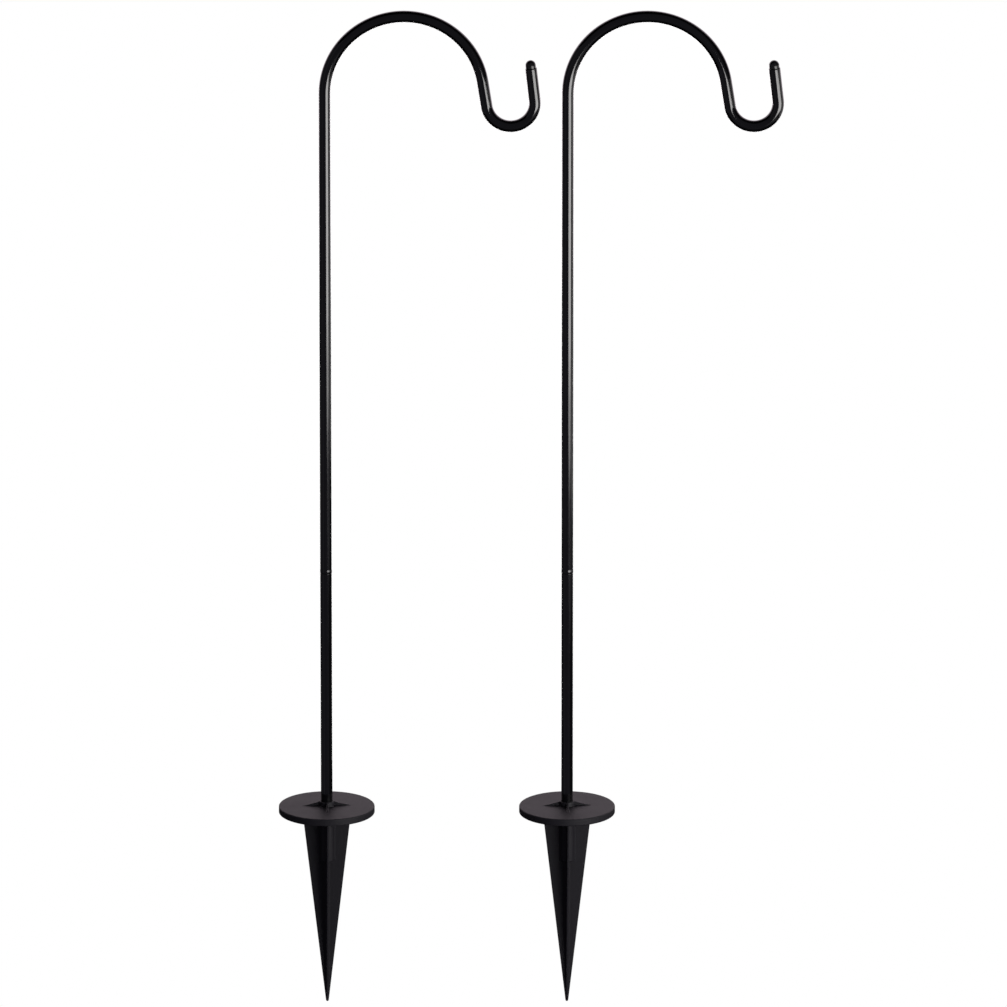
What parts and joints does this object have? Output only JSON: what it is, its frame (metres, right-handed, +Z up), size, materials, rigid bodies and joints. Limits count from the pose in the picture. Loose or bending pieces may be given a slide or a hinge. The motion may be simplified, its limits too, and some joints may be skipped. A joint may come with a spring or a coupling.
{
  "type": "hanging plant stand",
  "caption": "Slim garden hooks for hanging plants: an arched steel tube with a small upturned hook, jointed part way up, on a moulded ground spike with a round foot plate.",
  "frame": {"origin": "on the ground line, which is the underside of the foot plates, midway between the two poles", "axes": "+Z up along the poles, +X the way the hooks point at rest, +Y to the back, away from the camera"},
  "size_m": [0.4343, 0.083, 0.889],
  "materials": {
    "gloss_coat": "gloss black powder coat on steel tube",
    "plug_plastic": "gloss black moulded plastic",
    "spike_plastic": "matt black moulded plastic with a fine grain",
    "zinc_pin": "zinc-plated turned steel"
  },
  "bodies": {
    "ground_spikes": {"left_ground_spike": "spike_plastic", "right_ground_spike": "spike_plastic"},
    "left_lower_pole": {"left_lower_tube": "gloss_coat"},
    "left_joint": {"left_joint_pin": "zinc_pin"},
    "left_hook": {"left_hook_tube": "gloss_coat", "left_tip_plug": "plug_plastic"},
    "right_lower_pole": {"right_lower_tube": "gloss_coat"},
    "right_joint": {"right_joint_pin": "zinc_pin"},
    "right_hook": {"right_hook_tube": "gloss_coat", "right_tip_plug": "plug_plastic"}
  },
  "joints": [
    {"name": "left_pole_lift", "type": "slide", "parent": "ground_spikes", "child": "left_lower_pole", "axis": [0, 0, 1], "range_m": [0, 0.049]},
    {"name": "left_hook_lift", "type": "slide", "parent": "left_lower_pole", "child": "left_joint", "axis": [0, 0, 1], "range_m": [0, 0.025]},
    {"name": "left_hook_swivel", "type": "hinge", "parent": "left_joint", "child": "left_hook", "pos_m": [-0.104, 0, 0.2165], "axis": [0, 0, 1], "continuous": true},
    {"name": "right_pole_lift", "type": "slide", "parent": "ground_spikes", "child": "right_lower_pole", "axis": [0, 0, 1], "range_m": [0, 0.049]},
    {"name": "right_hook_lift", "type": "slide", "parent": "right_lower_pole", "child": "right_joint", "axis": [0, 0, 1], "range_m": [0, 0.025]},
    {"name": "right_hook_swivel", "type": "hinge", "parent": "right_joint", "child": "right_hook", "pos_m": [0.104, 0, 0.2165], "axis": [0, 0, 1], "range_deg": [-110, 110]}
  ]
}
